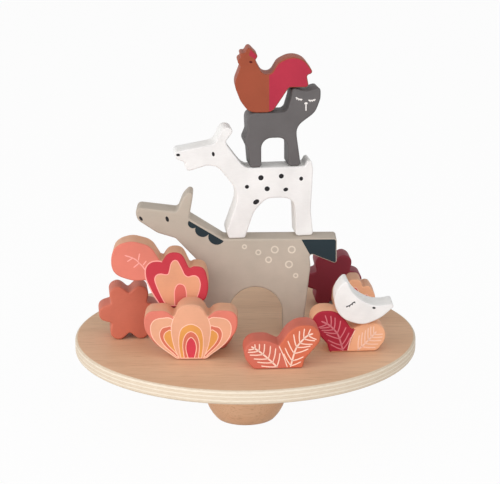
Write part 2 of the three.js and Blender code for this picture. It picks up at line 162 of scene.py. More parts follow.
def one_run(points: list[Vector], picked: Callable[[Vector], bool]) -> tuple[list[Vector], list[Vector]]:
    """Splits a closed outline into its run of picked points and the rest.

    Args:
        points: the outline.
        picked: says whether a point is picked; those that are lie next to each other.

    Returns:
        The run and the rest, both in the outline's order.
    """
    marks = [picked(point) for point in points]
    start = next(i for i, here in enumerate(marks) if here and not marks[i - 1])
    points, marks = points[start:] + points[:start], marks[start:] + marks[:start]
    stop = marks.index(False)
    return points[:stop], points[stop:]


def finer_arcs(points: list[Vector], longest: float = 1.7, sharpest: float = 1.2) -> list[Vector]:
    """Halves the short chords of a faceted outline and moves the new points out onto the arcs.

    Args:
        points: a closed outline.
        longest: an arc's longest chord, as a multiple of the longer chord beside it.
        sharpest: an arc's sharpest turn, in radians.

    Returns:
        The outline with smoother arcs. Long straight sides stay as they are.
    """
    made: list[Vector] = []
    count = len(points)
    for i, here in enumerate(points):
        before, after, beyond = (points[(i + k) % count] for k in (-1, 1, 2))
        turns = turn(before, here, after), turn(here, after, beyond)
        chord = after - here
        near = max((here - before).length, (beyond - after).length)
        made.append(here)
        if turns[0] * turns[1] > 0 and chord.length < longest * near and max(map(abs, turns)) < sharpest:
            # The arc turns by the mean of the two turns, and a quarter of that gives its height.
            bulge = chord.length / 2 * math.tan(sum(turns) / 8)
            made.append((here + after) / 2 + Vector((chord.y, -chord.x, 0)).normalized() * bulge)
    return made


def split(points: Sequence[Vector], step: float) -> list[Vector]:
    """Spaces points evenly along an open run.

    Args:
        points: the run.
        step: the distance between two points, about.

    Returns:
        The new points, from the run's first to its last.
    """
    marks = [0.0]
    for a, b in zip(points, points[1:]):
        marks.append(marks[-1] + (b - a).length)
    count = math.ceil(marks[-1] / step)
    made, k = [], 0
    for i in range(count + 1):
        mark = marks[-1] * i / count
        while k < len(points) - 2 and marks[k + 1] < mark:
            k += 1
        made.append(points[k].lerp(points[k + 1], (mark - marks[k]) / (marks[k + 1] - marks[k])))
    return made


def inside(spot: Vector, outline: Sequence[Vector]) -> bool:
    """Says whether a point lies inside a closed outline.

    Args:
        spot: the point.
        outline: the outline's points, in order.

    Returns:
        True for a point inside.
    """
    crossings = 0
    for a, b in edges_of(outline):
        if (a.y > spot.y) != (b.y > spot.y):
            crossings += spot.x < a.x + (spot.y - a.y) / (b.y - a.y) * (b.x - a.x)
    return crossings % 2 == 1


@dataclass(frozen=True)
class Worn:
    """A place where a block's outline is sanded rounder than it was sawn."""

    centre: Point
    reach: float
    rounding: float
    STEP: ClassVar[float] = 0.4
    STRAIGHT_DEGREES: ClassVar[float] = 0.25

    def sand(self, points: Sequence[Vector]) -> list[Vector]:
        """Rounds an outline off within reach of the place.

        Args:
            points: a closed outline that comes within reach in one run.

        Returns:
            The outline with that run evenly spaced and smoothed.
        """
        fine: list[Vector] = []
        for side in edges_of(points):
            fine += split(side, self.STEP)[:-1]
        centre = flat(self.centre)
        run, rest = one_run(fine, lambda spot: (spot - centre).length < self.reach)
        run = split(run, self.STEP)
        # Each pass adds half a squared step to the spread, so this many make it the squared rounding.
        for _ in range(round(2 * (self.rounding / self.STEP) ** 2)):
            inner = zip(run, run[1:], run[2:])
            run = [run[0], *((a + 2 * b + c) / 4 for a, b, c in inner), run[-1]]
        return bent([*run, *rest], self.STRAIGHT_DEGREES)


Wear = tuple[Worn, ...]


def flat_face(bm: Solid, points: Sequence[Vector]) -> Face:
    """Lays one flat face inside a closed run of points.

    Args:
        bm: the mesh that gets the face.
        points: the run.

    Returns:
        The face.
    """
    face = bm.faces.new([bm.verts.new((p[0], p[1], 0)) for p in points])
    face.normal_update()
    return face


def slice_mesh(bm: Solid, place: Sequence[float], across: Sequence[float], **cleared: bool) -> None:
    """Cuts a whole mesh along a plane and clears the sides that are named."""
    whole = [*bm.verts, *bm.edges, *bm.faces]
    bmesh.ops.bisect_plane(bm, geom=whole, plane_co=place, plane_no=across, **cleared)


def keep_left(points: Sequence[Vector], cuts: Sequence[Cut]) -> Solid:
    """Cuts an outline's face along lines.

    Args:
        points: the outline.
        cuts: lines, each from one point to another, that keep only what lies to their left.

    Returns:
        A mesh of what is left.
    """
    bm = bmesh.new()
    flat_face(bm, points)
    for (x0, z0), (x1, z1) in cuts:
        slice_mesh(bm, (x0, z0, 0), (z1 - z0, x0 - x1, 0), clear_outer=True)
    return bm


def inset(bm: Solid, face: Face, inward: float, rise: float = 0.0) -> None:
    """Draws a face's edge inwards and lifts the face, with a border left around it."""
    bmesh.ops.inset_region(
        bm, faces=[face], thickness=inward, depth=rise, use_even_offset=True, use_boundary=True)


def inner_outline(points: Sequence[Vector], distance: float) -> list[Vector]:
    """Moves an outline inwards.

    Args:
        points: a closed outline.
        distance: how far it moves in.

    Returns:
        The smaller outline.
    """
    bm = bmesh.new()
    face = flat_face(bm, points)
    inset(bm, face, distance)
    smaller = [vert.co.copy() for vert in face.verts]
    bm.free()
    return smaller


def raise_faces(bm: Solid, faces: Sequence[Face], rise: float) -> list[Face]:
    """Extrudes flat faces upwards.

    Args:
        bm: the mesh that holds the faces.
        faces: the faces, which stay as the underside.
        rise: how far up.

    Returns:
        The raised faces.
    """
    made = bmesh.ops.extrude_face_region(bm, geom=faces)["geom"]
    raised = [item for item in made if isinstance(item, bmesh.types.BMVert)]
    bmesh.ops.translate(bm, verts=raised, vec=(0, 0, rise))
    return [item for item in made if isinstance(item, Face)]


def rounded_slab(bm: Solid, face: Face, thickness: float, radius: float, steps: int) -> None:
    """Thickens a flat face into a board whose edges are rounded over on both sides.

    Args:
        bm: the mesh that holds the face.
        face: a flat face that looks up, halfway through the board's thickness.
        thickness: the board's thickness.
        radius: the edges' radius.
        steps: rings in a rounded edge.
    """
    reach = thickness / 2 - radius
    flat_rim = radius / 9
    top = raise_faces(bm, [face], reach)[0]
    bmesh.ops.translate(bm, verts=face.verts, vec=(0, 0, -reach))
    bmesh.ops.recalc_face_normals(bm, faces=bm.faces)
    angles = [math.pi / 2 * step / steps for step in range(steps + 1)]
    for cap in (top, face):
        for a, b in zip(angles, angles[1:]):
            inset(bm, cap, radius * (math.cos(a) - math.cos(b)), radius * (math.sin(b) - math.sin(a)))
        inset(bm, cap, flat_rim)


def set_in_place(bm: Solid, matrix: Matrix) -> None:
    """Moves a whole mesh by a matrix and turns its faces outwards."""
    bmesh.ops.transform(bm, matrix=matrix, verts=bm.verts)
    bmesh.ops.recalc_face_normals(bm, faces=bm.faces)


def join(whole: Solid, part: Solid) -> None:
    """Adds one mesh to another.

    Args:
        whole: the mesh that grows.
        part: the mesh that is added; it is freed.
    """
    mesh = bpy.data.meshes.new("joined_part")
    part.to_mesh(mesh)
    part.free()
    whole.from_mesh(mesh)
    bpy.data.meshes.remove(mesh)


def linked(thing: Object) -> Object:
    """Puts an object into the scene and gives it back."""
    bpy.context.scene.collection.objects.link(thing)
    return thing


def mesh_object(name: str, bm: Solid, finishes: Sequence[Material]) -> Object:
    """Makes a mesh an object of the scene.

    Args:
        name: the object's name.
        bm: its mesh in metres; it is freed.
        finishes: its materials, in the order of the faces' material numbers.

    Returns:
        The new object.
    """
    mesh = bpy.data.meshes.new(name)
    for finish in finishes:
        mesh.materials.append(finish)
    bm.to_mesh(mesh)
    bm.free()
    return linked(bpy.data.objects.new(name, mesh))


def as_piece(piece: Object, body: str) -> Object:
    """Makes an object a piece of the model.

    Args:
        piece: the object.
        body: the CAD body that it rides on.

    Returns:
        The object.
    """
    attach(piece, body)
    LOG.info("%s: %d faces, rides on %s", piece.name, len(piece.data.polygons), body)
    return piece


class NodeSheet:
    """The nodes of a new material or surround, with short ways to add and join them."""

    def __init__(self, owner: Material | bpy.types.World) -> None:
        """Starts with the owner's own nodes.

        Args:
            owner: what the nodes belong to. A material starts with a Principled shader.
        """
        owner.use_nodes = True
        self.owner = owner
        self.nodes = owner.node_tree.nodes
        self.shader = self.nodes.get("Principled BSDF")

    def fill(self, node: bpy.types.Node, inputs: dict[str | int, object]) -> None:
        """Sets a node's inputs.

        Args:
            node: the node.
            inputs: by name or number, a constant or another node's output.
        """
        for key, value in inputs.items():
            if isinstance(value, Socket):
                self.owner.node_tree.links.new(value, node.inputs[key])
            else:
                node.inputs[key].default_value = value

    def add(self, kind: str, inputs: dict[str | int, object], **options: object) -> bpy.types.Node:
        """Adds a node.

        Args:
            kind: the node's type, without its common first word.
            inputs: its inputs, as for fill.
            options: its other settings.

        Returns:
            The new node.
        """
        node = self.nodes.new(f"ShaderNode{kind}")
        for key, value in options.items():
            setattr(node, key, value)
        self.fill(node, inputs)
        return node

    def compute(self, operation: str, first: Socket, second: Socket | float) -> Socket:
        """Works one value out of two."""
        return self.add("Math", {0: first, 1: second}, operation=operation).outputs[0]

    def place(self) -> Socket:
        """Gives the piece's own coordinates."""
        return self.add("TexCoord", {}).outputs["Object"]

    def noise(self, stretch: Sequence[float], detail: float = 3.0, roughness: float = 0.5) -> Socket:
        """Adds a noise on the piece's own coordinates.

        Args:
            stretch: how many features a metre holds along each axis.
            detail: how many finer layers it has.
            roughness: how strong those are.

        Returns:
            The noise's value.
        """
        mapped = self.add("Mapping", {"Vector": self.place(), "Scale": stretch}).outputs["Vector"]
        settings = {"Vector": mapped, "Scale": 1.0, "Detail": detail, "Roughness": roughness}
        return self.add("TexNoise", settings).outputs["Fac"]

    def ramp(self, value: Socket, stops: Sequence[tuple[float, RGB]]) -> Socket:
        """Turns a value into a colour.

        Args:
            value: the value, from 0 to 1.
            stops: places on it with their colours, in order.

        Returns:
            The colour.
        """
        node = self.add("ValToRGB", {"Fac": value})
        elements = node.color_ramp.elements
        elements[0].position, elements[1].position = stops[0][0], stops[-1][0]
        for position, _ in stops[1:-1]:
            elements.new(position)
        for element, (_, colour) in zip(elements, stops):
            element.color = linear(colour)
        return node.outputs["Color"]

    def spread(self, value: Socket, low: float, high: float) -> Socket:
        """Spreads a noise's middle range over new limits."""
        limits = {"Value": value, "From Min": 0.3, "From Max": 0.7, "To Min": low, "To Max": high}
        return self.add("MapRange", limits).outputs["Result"]

    def seen(self) -> Socket:
        """Tells what the eye meets from what only gives light.

        Returns:
            1 for what the camera, a gloss or glass sees, and 0 for other light.
        """
        rays = self.add("LightPath", {}).outputs
        seen = rays["Is Camera Ray"]
        for ray in ("Is Glossy Ray", "Is Transmission Ray"):
            seen = self.compute("MAXIMUM", seen, rays[ray])
        return seen

    def surface(
            self, tone: Socket, streaks: Socket, share: float, fibre: Socket, rough: Point, gloss: float,
            relief: Point) -> Material:
        """Joins a finish to the shader.

        Args:
            tone: the finish's colour.
            streaks: a colour that darkens it.
            share: how much of the streaks is used.
            fibre: the noise that roughness and relief follow.
            rough: the least and the most roughness.
            gloss: the specular level.
            relief: the relief's strength, and its depth in millimetres.

        Returns:
            The finished material.
        """
        mixed = self.add("Mix", {0: share, 6: tone, 7: streaks}, data_type="RGBA", blend_type="MULTIPLY")
        bump = self.add("Bump", {"Height": fibre, "Strength": relief[0], "Distance": relief[1] * MM})
        self.fill(self.shader, {
            "Base Color": mixed.outputs[2], "Roughness": self.spread(fibre, *rough),
            "Specular IOR Level": gloss, "Normal": bump.outputs["Normal"]})
        return self.owner


@dataclass(frozen=True)
class Paint:
    """A matt toy paint on sanded wood, with a trace of brush and grain in it."""

    name: str
    colour: RGB
    roughness: float = 0.5

    def material(self) -> Material:
        """Makes the paint's material on its first use.

        Returns:
            The material.
        """
        name = f"{self.name}_matt_paint"
        if name in bpy.data.materials:
            return bpy.data.materials[name]
        sheet = NodeSheet(bpy.data.materials.new(name))
        cloud = sheet.noise((48, 48, 48), detail=4)
        fibre = sheet.noise((150, 1900, 1900), detail=3, roughness=0.6)
        tone = sheet.ramp(cloud, [
            (0.3, shade(self.colour, 0.965)), (0.5, self.colour), (0.72, shade(self.colour, 1.03))])
        streaks = sheet.ramp(fibre, [(0.32, (232, 230, 228)), (0.6, PURE_WHITE)])
        rough = self.roughness - 0.06, self.roughness + 0.08
        return sheet.surface(tone, streaks, 0.12, fibre, rough, gloss=0.12, relief=(0.08, 0.05))


@dataclass(frozen=True)
class Veneer:
    """A clear-sealed veneer whose grain runs along the X axis."""

    name: str
    light: RGB
    dark: RGB
    roughness: float = 0.42

    def material(self) -> Material:
        """Makes the veneer's material.

        Returns:
            The material.
        """
        sheet = NodeSheet(bpy.data.materials.new(self.name))
        figure = sheet.noise((5, 42, 42), detail=4, roughness=0.55)
        fibre = sheet.noise((55, 1500, 1500), detail=4, roughness=0.62)
        middle = tuple((a + b) // 2 for a, b in zip(self.light, self.dark))
        tone = sheet.ramp(figure, [(0.3, self.dark), (0.5, middle), (0.68, self.light)])
        pores = sheet.ramp(fibre, [(0.3, (178, 150, 128)), (0.46, (250, 247, 244)), (0.7, PURE_WHITE)])
        rough = self.roughness - 0.07, self.roughness + 0.1
        return sheet.surface(tone, pores, 0.45, fibre, rough, gloss=0.05, relief=(0.2, 0.06))


@dataclass(frozen=True)
class PlyEdge:
    """A sanded plywood edge: pale plies, every second one end grain, with thin glue lines."""

    name: str
    pale: RGB
    warm: RGB
    glue: RGB
    plies: int = 7
    waver: float = 0.18

    def material(self, low: float, high: float) -> Material:
        """Makes the edge's material.

        Args:
            low: height of the board's underside in metres.
            high: height of its top in metres.

        Returns:
            The material.
        """
        sheet = NodeSheet(bpy.data.materials.new(self.name))
        height = sheet.add("SeparateXYZ", {"Vector": sheet.place()}).outputs["Z"]
        limits = {"Value": height, "From Min": low, "From Max": high, "To Max": float(self.plies)}
        count = sheet.add("MapRange", limits).outputs["Result"]
        waver = sheet.spread(sheet.noise((14, 14, 60), detail=2), -self.waver, self.waver)
        swing = sheet.compute("PINGPONG", sheet.compute("ADD", count, waver), 1.0)
        bands = sheet.ramp(swing, [
            (0.0, self.pale), (0.42, self.pale), (0.5, self.glue), (0.58, self.warm), (1.0, self.warm)])
        fibre = sheet.noise((240, 240, 5200), detail=4, roughness=0.6)
        streaks = sheet.ramp(fibre, [(0.34, (214, 196, 176)), (0.6, PURE_WHITE)])
        return sheet.surface(bands, streaks, 0.4, fibre, (0.5, 0.68), gloss=0.12, relief=(0.22, 0.06))


Paints = tuple[Paint, ...]

GREY = Paint("warm_grey", (190, 178, 164))
TEAL = Paint("slate_teal", (41, 53, 59))
PALE_GREY = Paint("pale_ring", (220, 209, 194))
WHITE = Paint("milk_white", (238, 235, 233))
# A lighter white than the faces' for the sides of the white blocks, which are one white all over: painted
# light that brightens their sides and tops.
SIDE_WHITE_PAINTED_LIGHT = Paint("side_white_painted_light", (252, 250, 247))
BLACK = Paint("soft_black", (42, 40, 42))
CHARCOAL = Paint("charcoal", (104, 100, 100))
LINE_WHITE = Paint("line_white", (246, 240, 236))
RUST = Paint("rust", (157, 79, 56))
CRIMSON = Paint("crimson", (177, 50, 70))
MAROON = Paint("maroon_eye", (92, 28, 24))
TAN = Paint("tan_edge", (224, 171, 139))
SALMON = Paint("salmon", (223, 128, 111))
PEACH = Paint("peach", (232, 172, 140))
OCHRE = Paint("ochre", (228, 160, 88))
TERRACOTTA = Paint("terracotta_petal", (216, 119, 96))
CORE_RED = Paint("core_red", (214, 70, 86))
OUTLINE = Paint("pale_outline", (255, 206, 184))
TULIP_RED = Paint("tulip_red", (198, 62, 74))
PINK_LINE = Paint("pink_line", (252, 174, 164))
CORAL = Paint("coral", (208, 112, 94))
ORANGE = Paint("orange", (212, 113, 84))
VEIN_PEACH = Paint("vein_peach", (255, 220, 204))
VEIN_PALE = Paint("vein_pale", (250, 208, 188))
VEIN_PINK = Paint("vein_pink", (218, 128, 138))
LEAF_RED = Paint("leaf_red", (173, 44, 62))
LEAF_PEACH = Paint("leaf_peach", (240, 180, 142))
STAR_BROWN = Paint("star_terracotta", (206, 117, 96))
HEART = Paint("heart_pink", (216, 108, 98))
TAN_PETAL = Paint("tan_petal", (227, 161, 126))
BURGUNDY = Paint("burgundy", (136, 52, 64))


class Side(Enum):
    """The two painted faces of a block."""

    FRONT = "front"
    BACK = "back"


@dataclass(frozen=True)
class Spot:
    """A painted dot or ellipse, with its tilt in degrees."""

    centre: Point
    radii: Point
    tilt: float = 0.0

    def matrix(self) -> Matrix:
        """Gives the matrix that makes a unit circle this spot."""
        turned = Matrix.Rotation(math.radians(self.tilt), 4, "Z")
        return Matrix.Translation((*self.centre, 0)) @ turned @ Matrix.Diagonal((*self.radii, 1, 1))


Spots = tuple[Spot, ...]


@dataclass(frozen=True)
class BlockAxes:
    """Where a sawn block stands: its left foot corner on the front face, and its directions."""

    corner: Vector
    along: Vector
    inward: Vector
    thickness: float

    @classmethod
    def of(cls, node: str) -> "BlockAxes":
        """Reads a block's place from its solid.

        Args:
            node: the CAD node.

        Returns:
            The block's axes. The front is the largest flat face that looks towards minus Y.
        """
        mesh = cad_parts[node].data
        sums: dict[tuple[float, ...], Vector] = defaultdict(Vector)
        for polygon in mesh.polygons:
            sums[tuple(round(part, 2) for part in polygon.normal)] += polygon.normal * polygon.area
        facing = max((total for total in sums.values() if total.y < 0), key=lambda total: total.length)
        inward = -Vector((facing.x, facing.y, 0)).normalized()
        along = inward.cross(UP)
        spots = [vert.co for vert in mesh.vertices]
        depths = [spot.dot(inward) for spot in spots]
        left = min(spot.dot(along) for spot in spots)
        foot = min(spot.z for spot in spots)
        corner = along * left + inward * min(depths) + UP * foot
        return cls(corner, along, inward, (max(depths) - min(depths)) / MM)

    def matrix(self, side: Side, zero: float) -> Matrix:
        """Gives the matrix from a face's own plane to the model.

        Args:
            side: the face.
            zero: how far from the block's left end the plane's zero lies.

        Returns:
            The matrix: along, up and out of the face in millimetres become the model's metres.
        """
        origin = self.corner + self.along * zero * MM
        out = -self.inward
        if side is Side.BACK:
            origin = origin + self.inward * self.thickness * MM
            out = self.inward
        turned = Matrix((self.along, UP, out)).transposed().to_4x4()
        return Matrix.Translation(origin) @ turned @ Matrix.Scale(MM, 4)


class Coat:
    """The shapes of one coat of paint, drawn flat in a block's own face plane.

    A coat stands STEP above the one below it and reaches SUNK into the wood. END_LOSS and END_POWER say
    how much and how late a line narrows towards its ends.
    """

    STEP = 0.03
    SUNK = 0.16
    DOT_SIDES = 28
    RING_SIDES = 36
    END_LOSS = 0.96
    END_POWER = 12

    def __init__(self) -> None:
        """Starts an empty coat."""
        self.bm = bmesh.new()

    def area(self, points: Sequence[Vector], cuts: Sequence[Cut] = ()) -> "Coat":
        """Paints the area inside an outline, or the part of it to the left of the cuts; gives this coat."""
        join(self.bm, keep_left(points, cuts))
        return self

    def disc(self, spot: Spot, sides: int) -> Face:
        """Lays the face of one dot with the given number of sides."""
        made = bmesh.ops.create_circle(self.bm, cap_ends=True, segments=sides, radius=1, matrix=spot.matrix())
        return made["verts"][0].link_faces[0]

    def dots(self, *spots: Spot) -> "Coat":
        """Paints dots.

        Args:
            spots: the dots.

        Returns:
            This coat.
        """
        for spot in spots:
            self.disc(spot, self.DOT_SIDES)
        return self

    def rings(self, width: float, *spots: Spot) -> "Coat":
        """Paints thin rings along the edges of dots.

        Args:
            width: how wide the rings are.
            spots: the dots.

        Returns:
            This coat.
        """
        for spot in spots:
            face = self.disc(spot, self.RING_SIDES)
            inset(self.bm, face, width)
            bmesh.ops.delete(self.bm, geom=[face], context="FACES")
        return self

    def lines(self, width: float, *strokes: Sequence[Point]) -> "Coat":
        """Paints smooth lines with rounded ends.

        Args:
            width: how wide they are.
            strokes: for each line, what it runs through.

        Returns:
            This coat.
        """
        for path in map(smooth_path, strokes):
            last = len(path) - 1
            halves = []
            for i in range(last + 1):
                along = path[min(i + 1, last)] - path[max(i - 1, 0)]
                half = width / 2 * math.sqrt(1 - self.END_LOSS * abs(2 * i / last - 1) ** self.END_POWER)
                halves.append(Vector((-along.y, along.x, 0)).normalized() * half)
            row = [self.bm.verts.new(spot - half) for spot, half in zip(path, halves)]
            edges = [self.bm.edges.new(pair) for pair in zip(row, row[1:])]
            bmesh.ops.extrude_edge_only(self.bm, edges=edges)
            for vert, half in zip(row, halves):
                for edge in vert.link_edges:
                    twin = edge.other_vert(vert)
                    if twin not in row:
                        twin.co = vert.co + half * 2
        return self

    def thicken(self, level: int) -> None:
        """Gives the coat its thickness.

        Args:
            level: its layer, counted from the wood.
        """
        raise_faces(self.bm, self.bm.faces[:], self.STEP * level + self.SUNK)
        bmesh.ops.translate(self.bm, verts=self.bm.verts, vec=(0, 0, -self.SUNK))
        bmesh.ops.recalc_face_normals(self.bm, faces=self.bm.faces)


class Paintwork:
    """All the decoration of one block, on both of its faces."""

    def __init__(self, axes: BlockAxes, zero: float) -> None:
        """Starts the decoration of a block.

        Args:
            axes: the block's place.
            zero: how far from its left end the paint's zero lies.
        """
        self.axes = axes
        self.zero = zero
        self.bm = bmesh.new()
        self.paints: list[Paint] = []

    def lay(self, coat: Coat, paint: Paint, level: int) -> None:
        """Lays a coat on both faces.

        Args:
            coat: the shapes; they are used up.
            paint: their colour.
            level: the layer, counted from the wood.
        """
        if paint not in self.paints:
            self.paints.append(paint)
        coat.thicken(level)
        for face in coat.bm.faces:
            face.material_index = self.paints.index(paint)
        for side in Side:
            laid = coat.bm.copy()
            set_in_place(laid, self.axes.matrix(side, self.zero))
            join(self.bm, laid)
        coat.bm.free()

    def petal(
            self, outline: Sequence[Vector], line: tuple[Paint, float], fill: Paint, level: int,
            cuts: Sequence[Cut] = ()) -> None:
        """Lays a petal and the line along its edge.

        Args:
            outline: the petal's edge.
            line: the line's paint and width.
            fill: the petal's own paint.
            level: the line's layer; the petal's own lies one above it.
            cuts: lines that keep only what lies to their left.
        """
        line_paint, width = line
        self.lay(Coat().area(outline, cuts), line_paint, level)
        self.lay(Coat().area(inner_outline(outline, width), cuts), fill, level + 1)

    def finish(self, node: str) -> None:
        """Makes the decoration a piece that rides with its block.

        Args:
            node: the block's CAD node. A plain block gets no piece.
        """
        if self.paints:
            finishes = [paint.material() for paint in self.paints]
            as_piece(mesh_object(f"{node}_paintwork", self.bm, finishes), node)
        else:
            self.bm.free()


@dataclass
class Block:
    """A block sawn from board: a closed outline, rounded over along both faces.

    The paint's zero lies the given distance from the block's left end. Faces that look more outwards than
    the face slope take the face paints, if there are any, and the sides take the block's own paint.
    """

    node: str
    zero: float
    paint: Paint
    face_paints: Paints = ()
    edge_round: float = 1.3
    edge_steps: int = 6
    arc_rounds: int = 2
    margin: float = 0.9
    face_slope: float = 0.3
    worn: Wear = ()
    axes: BlockAxes = field(init=False)
    outline: list[Vector] = field(init=False)
    face: list[Vector] = field(init=False)
    work: Paintwork = field(init=False)
    STRAIGHT_DEGREES: ClassVar[float] = 0.6

    def __post_init__(self) -> None:
        """Reads the block's place and outline from its solid."""
        self.axes = BlockAxes.of(self.node)
        self.outline = self.read_outline()
        self.face = inner_outline(self.outline, self.margin)
        self.work = Paintwork(self.axes, self.zero)

    def read_outline(self) -> list[Vector]:
        """Cuts the solid through its middle and refines the outline found there.

        Returns:
            The outline in the front face's plane, anticlockwise.
        """
        bm = bmesh.new()
        bm.from_mesh(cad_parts[self.node].data)
        bmesh.ops.remove_doubles(bm, verts=bm.verts, dist=MERGE_METRES)
        bmesh.ops.transform(bm, matrix=self.axes.matrix(Side.FRONT, self.zero).inverted(), verts=bm.verts)
        slice_mesh(bm, (0, 0, -self.axes.thickness / 2), UP, clear_inner=True, clear_outer=True)
        first = next(iter(bm.verts))
        points, vert, edge = [first.co.copy()], first, first.link_edges[0]
        while (vert := edge.other_vert(vert)) is not first:
            points.append(vert.co.copy())
            edge = next(other for other in vert.link_edges if other is not edge)
        bm.free()
        for point in points:
            point.z = 0
        points = bent(points, self.STRAIGHT_DEGREES)
        if sum(a.x * b.y - a.y * b.x for a, b in edges_of(points)) < 0:
            points.reverse()
        ends = [[pick(point[axis] for point in points) for pick in (min, max)] for axis in (0, 1)]
        for _ in range(self.arc_rounds):
            points = finer_arcs(points)
        for place in self.worn:
            points = place.sand(points)
        for point in points:
            point.xy = [min(max(part, low), high) for part, (low, high) in zip(point.xy, ends)]
        return points

    def face_number(self, spot: Vector) -> int:
        """Gives the number of the finish on the painted face at a spot; the sides have number 0."""
        return min(1, len(self.face_paints))

    def saw(self) -> None:
        """Makes the block itself, in place of its CAD solid."""
        bm = bmesh.new()
        rounded_slab(bm, flat_face(bm, self.outline), self.axes.thickness, self.edge_round, self.edge_steps)
        bm.normal_update()
        for face in bm.faces:
            face.smooth = True
            if abs(face.normal.z) > self.face_slope:
                face.material_index = self.face_number(face.calc_center_median())
        bmesh.ops.translate(bm, verts=bm.verts, vec=(0, 0, -self.axes.thickness / 2))
        set_in_place(bm, self.axes.matrix(Side.FRONT, self.zero))
        finishes = [paint.material() for paint in (self.paint, *self.face_paints)]
        block = mesh_object(f"{self.node}_block", bm, finishes)
        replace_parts(as_piece(block, self.node), self.node)

    def decorate(self) -> None:
        """Lays the block's decoration. A plain block has none."""

    def build(self) -> None:
        """Makes the block and its decoration."""
        self.saw()
        self.decorate()
        self.work.finish(self.node)


@dataclass
class Donkey(Block):
    """The big grey block that carries the stack."""

    node: str = "donkey"
    zero: float = 78.236
    paint: Paint = GREY
    margin: float = 0.7
    mane: Path = ((-15.2, 71.4), (-26.1, 76.6), (-35.5, 81.6), (-40.2, 86.8))
    mane_depths: tuple[float, ...] = (5.2, 4.4, 2.8)
    tail: Cut = ((40.6, 72.7), (46.4, 62.0))
    rings: Spots = (
        Spot((-0.3, 67.1), (1.9, 1.9)), Spot((9.7, 62.8), (2.2, 2.2)), Spot((17.1, 57.2), (2.5, 2.5)),
        Spot((21.6, 64.8), (2.9, 2.9)), Spot((33.9, 64.7), (2.9, 2.9)), Spot((31.9, 53.6), (2.9, 2.9)),
        Spot((36.8, 45.1), (2.0, 2.0)))
    ring_width: float = 1.05
    eye: Spot = Spot((-55.7, 88.1), (1.15, 2.1), 18)
    nostril: Spot = Spot((-74.6, 88.6), (0.95, 1.85), 35)

    def decorate(self) -> None:
        """Paints the scalloped mane, the tail, the rings on the flank, the eye and the nostril."""
        scallops: list[Vector] = []
        for start, end, depth in zip(self.mane, self.mane[1:], self.mane_depths):
            scallops += lobe(start, end, depth)
        scallops.append(flat(self.mane[-1]))
        self.work.lay(Coat().area(scallops).area(self.face, [self.tail]), TEAL, 1)
        self.work.lay(Coat().rings(self.ring_width, *self.rings), PALE_GREY, 1)
        self.work.lay(Coat().dots(self.eye, self.nostril), BLACK, 1)


@dataclass
class Dog(Block):
    """The white block with spots."""

    node: str = "dog"
    zero: float = 49.447
    # The sides and top take the lighter white: painted light.
    paint: Paint = SIDE_WHITE_PAINTED_LIGHT
    face_paints: Paints = (WHITE,)
    edge_round: float = 1.0
    worn: Wear = (
        Worn((-11.6, 79.8), 8.2, 2.0), Worn((-20.8, 71.0), 7.5, 2.2), Worn((-15.0, 50.0), 13.0, 2.6),
        Worn((32.0, 26.0), 10.0, 2.4), Worn((8.0, 21.0), 8.0, 2.2), Worn((-5.6, 31.0), 11.0, 3.0),
        Worn((-2.2, 54.8), 5.4, 2.0))
    spots: Spots = (
        Spot((1.8, 38.0), (1.5, 1.4)), Spot((11.9, 44.3), (1.95, 1.9), 20),
        Spot((26.7, 45.0), (1.8, 1.75)), Spot((41.1, 42.6), (1.4, 1.5)), Spot((16.4, 36.0), (1.9, 1.8)),
        Spot((29.9, 35.0), (1.75, 1.4), 15), Spot((8.4, 26.6), (2.4, 1.7), 32))
    eye: Spot = Spot((-22.2, 62.8), (1.0, 1.65), 12)
    nose: Spot = Spot((-47.3, 63.0), (1.45, 1.0), -8)

    def decorate(self) -> None:
        """Paints the coat's spots, the eye and the nose."""
        self.work.lay(Coat().dots(*self.spots, self.eye, self.nose), BLACK, 1)


@dataclass
class Cat(Block):
    """The charcoal block with a sleeping face."""

    node: str = "cat"
    zero: float = 4.601
    paint: Paint = CHARCOAL
    worn: Wear = (
        Worn((49.3, 55.6), 5.0, 1.2), Worn((30.3, 56.0), 4.0, 0.9), Worn((46.0, 38.5), 9.0, 2.4),
        Worn((33.6, 28.0), 8.5, 2.6), Worn((-1.2, 38.2), 5.0, 1.5))
    eyes: Paths = (
        ((32.1, 50.0), (33.4, 49.1), (35.0, 48.5), (36.9, 48.3)),
        ((41.2, 47.7), (42.8, 47.4), (44.6, 47.5), (46.4, 48.1)))
    lashes: Cuts = (
        ((33.2, 49.3), (32.7, 48.4)), ((34.6, 48.7), (34.3, 47.7)), ((36.0, 48.4), (35.9, 47.5)),
        ((42.6, 47.4), (42.4, 46.5)), ((44.0, 47.5), (44.1, 46.5)), ((45.4, 47.8), (45.8, 46.9)))
    nose: Spot = Spot((39.5, 45.4), (1.15, 0.75))
    mouth: Path = ((39.5, 45.2), (39.5, 42.5), (39.5, 40.0))
    line: float = 0.84

    def decorate(self) -> None:
        """Paints the closed eyes, the nose and the line under it."""
        marks = Coat().dots(self.nose).lines(self.line, *self.eyes, *self.lashes, self.mouth)
        self.work.lay(marks, LINE_WHITE, 1)


@dataclass
class Rooster(Block):
    """The rust block on top, with a crimson tail and comb."""

    node: str = "rooster"
    zero: float = 16.137
    paint: Paint = RUST
    edge_round: float = 0.8
    margin: float = 0.6
    worn: Wear = (Worn((-6.6, 1.4), 9.0, 2.6), Worn((10.0, 0.8), 8.5, 2.6))
    tail: Cut = ((7.9, 60.0), (7.9, 0.0))
    comb: Cuts = (
        ((-4.6, 47.0), (-6.3, 41.2)), ((-6.3, 41.2), (-1.9, 38.0)), ((4.0, 30.0), (4.0, 60.0)))
    eye: Spot = Spot((-5.0, 36.3), (1.15, 0.75), -12)

    def decorate(self) -> None:
        """Paints the tail, the back of the comb and the eye."""
        self.work.lay(Coat().area(self.face, [self.tail]).area(self.face, self.comb), CRIMSON, 1)
        self.work.lay(Coat().dots(self.eye), MAROON, 2)


